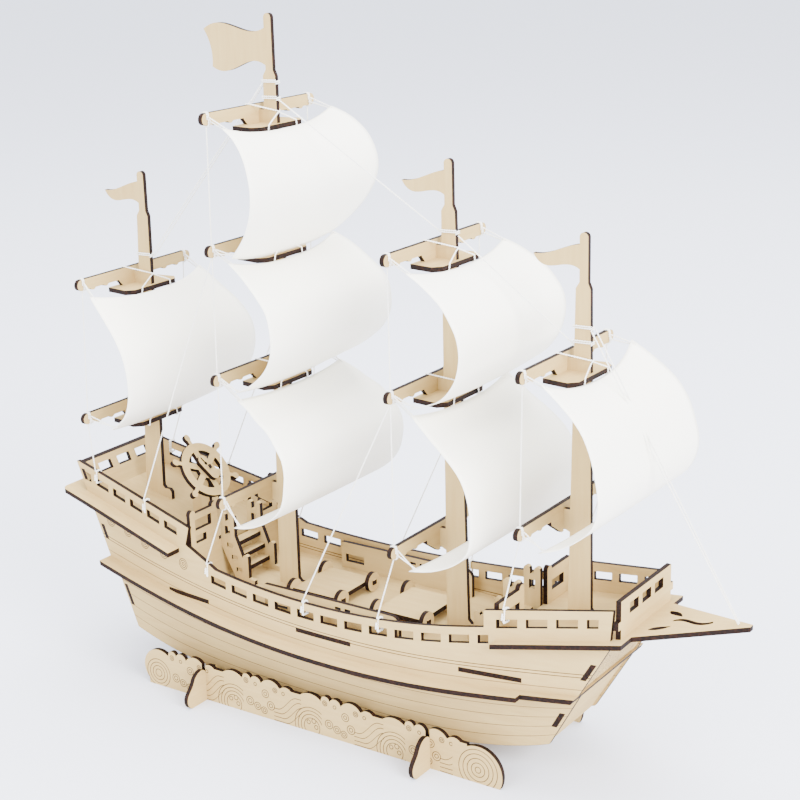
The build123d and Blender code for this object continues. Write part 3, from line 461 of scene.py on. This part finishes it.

# %% [markdown]
# A sail is smooth stiffened sheet, nearly white, with a faint fibre. Its grid has enough rows to
# bend smoothly. The laid sheet's area and points along its profile are worked out, but nothing uses them.

# %% Sail cloth
def sail_finish():
    finish = Finish("sail_sheet_white")
    spot, (x, y, z) = finish.place()
    clouds = finish.noise(spot, 30)
    fibre = finish.noise(spot, 1500, (1, 0.25, 1), 2)
    white = finish.mix(clouds * 0.6 + fibre * 0.2, rgb(252, 250, 240) + (1,), rgb(243, 238, 221) + (1,))
    bump = finish.node("Bump", None, {"Strength": 0.12, "Distance": FINE_BUMP, "Height": fibre + clouds * 2})
    return finish.coat(Base_Color=white, Roughness=0.5 + clouds * 0.1, Normal=bump.link())


sail_white = sail_finish()
ROWS, COLUMNS = 34, 30
CORNER_HALF = 44.0
BELLY = 6.0
END_SHARE = 0.32
PROFILE_STEPS = 60


def lay_sail(name):
    """Lays a flat grid along the sail's profile and gives it thickness."""
    profile, twist = PROFILES[name]
    mast, number = name.split("_")
    lower = f"{mast}_{int(number) + 1}"
    top_z = yard(name)[2] - TOP_DROP - PLY - 0.4
    low_z = LOWEST.get(name, yard(lower)[2] - TOP_DROP + 0.4)
    top_pull = (edge(MAST_FORE[mast], top_z) + 2.7 - profile[0][0], top_z - profile[0][1])
    low_pull = (edge(MAST_FORE[mast], low_z) + 0.9 - profile[-1][0], low_z - profile[-1][1])
    cloth = bmesh.new()
    bmesh.ops.create_grid(cloth, x_segments=COLUMNS, y_segments=ROWS, size=1)
    for point in cloth.verts:
        across, down = point.co.x, (1 - point.co.y) / 2
        x, z = along(profile, down)
        swell = math.sin(math.pi * down)
        middle = 1 - abs(across) ** 2.4
        high = max(0, 1 - down / END_SHARE) ** 2 * middle
        low = max(0, 1 - (1 - down) / END_SHARE) ** 2 * middle
        x += high * top_pull[0] + low * low_pull[0] + twist * across * swell / 2
        z += high * top_pull[1] + low * low_pull[1]
        point.co = Vector((x, across * (CORNER_HALF + BELLY * swell), z)) * MM
    bmesh.ops.recalc_face_normals(cloth, faces=cloth.faces)
    area = sum(face.calc_area() for face in cloth.faces)
    steps = [along(profile, i / PROFILE_STEPS) for i in range(PROFILE_STEPS + 1)]
    mesh = bpy.data.meshes.new("sail_cloth_" + name)
    cloth.to_mesh(mesh)
    cloth.free()
    mesh.shade_smooth()
    mesh.materials.append(sail_white)
    sail = bpy.data.objects.new("sail_cloth_" + name, mesh)
    bpy.context.scene.collection.objects.link(sail)
    thick = sail.modifiers.new("thickness", "SOLIDIFY")
    thick.thickness, thick.offset = SHEET * MM, 0
    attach(sail, "ship")
    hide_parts("sail_" + name)
    "yard_" + name


for name in PROFILES:
    lay_sail(name)

# %% [markdown]
# The rigging is white twisted thread, pulled tight. Each thread is two strands that turn round
# one another. Its path is a row of points, and each strand is a curve that winds round that
# path at half a thread's distance. Curves with a round bevel are quick to make as tubes, and
# are turned into meshes at the end.

# %% Twisted thread
STRAND = 0.21
PITCH = 2.6
STEPS_A_TURN = 7


def resample(points, step):
    """Evenly spaced points on a bent line, in millimetres."""
    made, left = [Vector(points[0])], step
    for a, b in zip(points, points[1:]):
        a, b = Vector(a), Vector(b)
        length = (b - a).length
        while left < length:
            made.append(a.lerp(b, left / length))
            left += step
        left -= length
    return made


def strand_curves(curve, points):
    """Adds the two strands of one thread to a curve."""
    path = resample(points, PITCH / STEPS_A_TURN)
    path.append(Vector(points[-1]))
    side = Vector((0.3, 0.5, 0.81))
    rings = []
    for i, point in enumerate(path):
        ahead = (path[min(i + 1, len(path) - 1)] - path[max(i - 1, 0)]).normalized()
        side = (side - ahead * side.dot(ahead)).normalized()
        turn = 2 * math.pi * i / STEPS_A_TURN
        rings.append((side * math.cos(turn) + ahead.cross(side) * math.sin(turn)) * STRAND)
    for way in (1, -1):
        spline = curve.splines.new("POLY")
        spline.points.add(len(path) - 1)
        for spot, point, ring in zip(spline.points, path, rings):
            spot.co = (*((point + ring * way) * MM), 1)


def thread_piece(name, paths, material):
    """Makes one mesh piece from the paths of its threads."""
    curve = bpy.data.curves.new(name, "CURVE")
    curve.dimensions, curve.bevel_depth, curve.bevel_resolution = "3D", STRAND * MM, 0
    curve.use_fill_caps = True
    for points in paths:
        strand_curves(curve, points)
    drawn = bpy.data.objects.new(name + "_curve", curve)
    bpy.context.scene.collection.objects.link(drawn)
    mesh = bpy.data.meshes.new_from_object(drawn.evaluated_get(bpy.context.evaluated_depsgraph_get()))
    bpy.data.objects.remove(drawn)
    mesh.shade_smooth()
    mesh.materials.clear()
    mesh.materials.append(material)
    piece = bpy.data.objects.new(name, mesh)
    bpy.context.scene.collection.objects.link(piece)
    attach(piece, "ship")
    print(name, "threads", len(paths), "faces", len(mesh.polygons))
    return piece


thread_finish = Finish("thread_white")
spot, _ = thread_finish.place()
lint = thread_finish.noise(spot, 2500, detail=2)
thread_white = thread_finish.coat(
    Base_Color=thread_finish.mix(lint, rgb(250, 249, 245) + (1,), rgb(226, 222, 212) + (1,)), Roughness=0.8)

# %% [markdown]
# Where the threads go: they are wound twice round each yard near its ends, run from yard to
# yard, and come down to the rail as shrouds. At each top a thread crosses the mast twice, from
# the yard behind it to the platform's front, which binds yard, mast and platform together.
# Stays run between the masts and over the sails' fronts to the beak.

# %% Wraps and crossings
WRAP_Y = 40.6
THREAD_HALF = 0.45
WRAP_STEPS = 16
WRAP_PITCH = 0.95
SQUARENESS = 0.4


def wrap(name, y, turns=2):
    """Thread wound round a yard at a place along it."""
    aft, fore, z = yard(name)
    middle, half_x, half_z = (aft + fore) / 2, PLY / 2 + THREAD_HALF, YARD_HALF_HIGH + THREAD_HALF
    points = []
    for i in range(turns * WRAP_STEPS + 1):
        turn = 2 * math.pi * i / WRAP_STEPS
        c, s = math.cos(turn), math.sin(turn)
        points.append((middle + half_x * math.copysign(abs(c) ** SQUARENESS, c),
                       y + WRAP_PITCH * i / WRAP_STEPS - turns / 2,
                       z + half_z * math.copysign(abs(s) ** SQUARENESS, s)))
    return points


def crossing(name, mast, way):
    """Thread from the yard's top, across the mast, to the platform's far front corner and under."""
    aft, fore, z = yard(name)
    front = edge(MAST_FORE[mast], z) + THREAD_HALF
    nose = edge(MAST_FORE[mast], z - TOP_DROP) + 2.0 + THREAD_HALF
    return [(aft - THREAD_HALF, way * 8, z), (aft, way * 8, z + YARD_HALF_HIGH + THREAD_HALF),
            (fore + THREAD_HALF, way * 7, z + YARD_HALF_HIGH), (front, way * 1.2, z - 0.2),
            (front, way * -1.4, z - 1.6), (nose, way * -11, z - TOP_DROP + THREAD_HALF),
            (nose, way * -11.6, z - TOP_DROP - PLY - THREAD_HALF), (aft, way * -9, z - TOP_DROP - PLY - 0.4)]


ROWS_OF = {"mizzen": 2, "main": 4, "fore": 3, "bow": 2}
TOPS = {"mizzen": 2, "main": 3, "fore": 2, "bow": 1}
rig = {mast: [] for mast in ROWS_OF}
for mast, rows in ROWS_OF.items():
    for number in range(1, rows + 1):
        name = f"{mast}_{number}"
        rig[mast] += [wrap(name, side * WRAP_Y) for side in (-1, 1)]
        if number <= TOPS[mast]:
            rig[mast] += [crossing(name, mast, way) for way in (-1, 1)]
print("wraps and crossings:", sum(len(v) for v in rig.values()))

# %% [markdown]
# Shrouds come down from the lowest yards and are tied through the rails' windows, so each needs
# the rail's height and the hull's half breadth at its place. On the real model such a thread is
# passed over the rail, through a window and back before it is knotted.

# %% Shrouds, yard lines and corner ties
QUARTER_RAIL, FORE_RAIL = 15.2, 15.7


def rail_height(x):
    return 74.0 + 9.0e-4 * (x + 20) ** 2


def quarter_height(x):
    return 84.5 - 0.235 * (x + 113)


def fore_height(x):
    return 76.5 + 0.17 * (x - 82.75)


BREADTH = ((-205, 29.5), (-155, 34.0), (-105, 39.5), (-55, 43.5), (-5, 45.0), (45, 43.0), (95, 36.0),
           (142, 29.0), (155, 27.0))


def half_breadth(x):
    for (x0, y0), (x1, y1) in zip(BREADTH, BREADTH[1:]):
        if x <= x1:
            return y0 + (y1 - y0) * (x - x0) / (x1 - x0)


def rail_tie(x, side, top, depth=6.5):
    """A thread's end: it goes over the rail, through a window and back, and is wound once more."""
    y = half_breadth(x)
    out, inn = side * (y + 0.5), side * (y - PLY - 0.5)
    low = top - depth
    return [(x, out, top + 0.5), (x, inn, top + 0.5), (x, inn, low), (x + 0.5, out, low),
            (x + 0.8, out, top + 0.6), (x + 0.9, inn, top + 0.5), (x + 1.0, inn, low),
            (x + 0.2, out, low), (x - 0.2, out + side * 0.4, top - 1.5), (x - 0.6, out + side * 0.5, top - 5)]


SHROUDS = {"mizzen": (("mizzen_2", -176, quarter_height(-176) + QUARTER_RAIL),),
           "main": (("main_2", -138, quarter_height(-138) + QUARTER_RAIL),
                    ("main_4", -92, rail_height(-92) + 1)),
           "fore": (("fore_2", -26, rail_height(-26)), ("fore_3", 20, rail_height(20))),
           "bow": (("bow_2", 88, fore_height(88) + FORE_RAIL),)}
for mast, lines in SHROUDS.items():
    for name, x, top in lines:
        aft, fore, z = yard(name)
        for side in (-1, 1):
            start = ((aft + fore) / 2, side * (WRAP_Y + 0.4), z - YARD_HALF_HIGH - 0.4)
            rig[mast].append([start] + rail_tie(x, side, top))
for mast, rows in ROWS_OF.items():
    for number in range(1, rows):
        (a0, a1, za), (b0, b1, zb) = yard(f"{mast}_{number}"), yard(f"{mast}_{number + 1}")
        for side in (-1, 1):
            rig[mast].append([((a0 + a1) / 2, side * WRAP_Y, za - YARD_HALF_HIGH),
                              ((b0 + b1) / 2, side * WRAP_Y, zb + YARD_HALF_HIGH)])
CORNER = 42.6
for name, (profile, twist) in PROFILES.items():
    mast, number = name.split("_")
    for end, spot in ((0, 0.03), (1, 0.97)):
        aft, fore, z = yard(f"{mast}_{int(number) + end}")
        x, height = along(profile, spot)
        for side in (-1, 1):
            rig[mast].append([(fore + THREAD_HALF, side * WRAP_Y, z + 1 - 2 * end),
                              (x + 0.6, side * CORNER, height), (x - 0.9, side * CORNER, height - 0.4),
                              (fore + THREAD_HALF, side * (WRAP_Y - 0.8), z - 1 + 2 * end)])
print("threads in all:", sum(len(v) for v in rig.values()))

# %% [markdown]
# Stays run from mast to mast and from the bow mast to the beak. Each is looped twice round its
# mast, and the loops climb by a thread's thickness so that they lie beside one another.

# %% Stays
def front(mast, z, out=0.8):
    return edge(MAST_FORE[mast], z) + out


def behind(mast, z, out=0.8):
    return edge(MAST_AFT[mast], z) - out


rig["main"] += [[(front("mizzen", 232), y, 232), (behind("main", 328), y * 0.6, 328)] for y in (-1.7, 1.7)]
rig["main"].append([(behind("fore", 262), 0, 262), (front("main", 320), 0, 320)])
rig["fore"].append([(behind("bow", 216), 0, 216), (front("fore", 261), 0, 261)])
rig["bow"] += [[(front("bow", 224), y, 224), (190.2, y * 0.3, fore_height(190.2) + 0.5)] for y in (-2, 2)]
for mast, z in (("mizzen", 232), ("main", 328), ("main", 320), ("fore", 262), ("bow", 217), ("bow", 224)):
    aft, fore = behind(mast, z, 0.5), front(mast, z, 0.5)
    loop = [(fore, -1.7), (fore, 1.7), (aft, 1.7), (aft, -1.7)] * 2 + [(fore, -1.7)]
    rig[mast].append([(x, y, z + i * 0.22) for i, (x, y) in enumerate(loop)])
print("stays laid")

# %% [markdown]
# Each mast's threads become one mesh piece. Together they stand for the CAD model's threads.

# %% Thread pieces
for mast, paths in rig.items():
    piece = thread_piece("thread_" + mast, paths, thread_white)
    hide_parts("rigging_threads")

# %% [markdown]
# The floor is a plain pale sheet. It isn't part of the ship, so it is not attached to the ship's body.

# %% Floor
ground = bmesh.new()
bmesh.ops.create_grid(ground, x_segments=8, y_segments=8, size=8)
floor_mesh = bpy.data.meshes.new("floor")
ground.to_mesh(floor_mesh)
ground.free()
floor_finish = Finish("floor_paper")
floor_mesh.materials.append(floor_finish.coat(Base_Color=rgb(214, 217, 228) + (1,), Roughness=0.9))
floor = bpy.data.objects.new("floor", floor_mesh)
bpy.context.scene.collection.objects.link(floor)
print("floor laid")
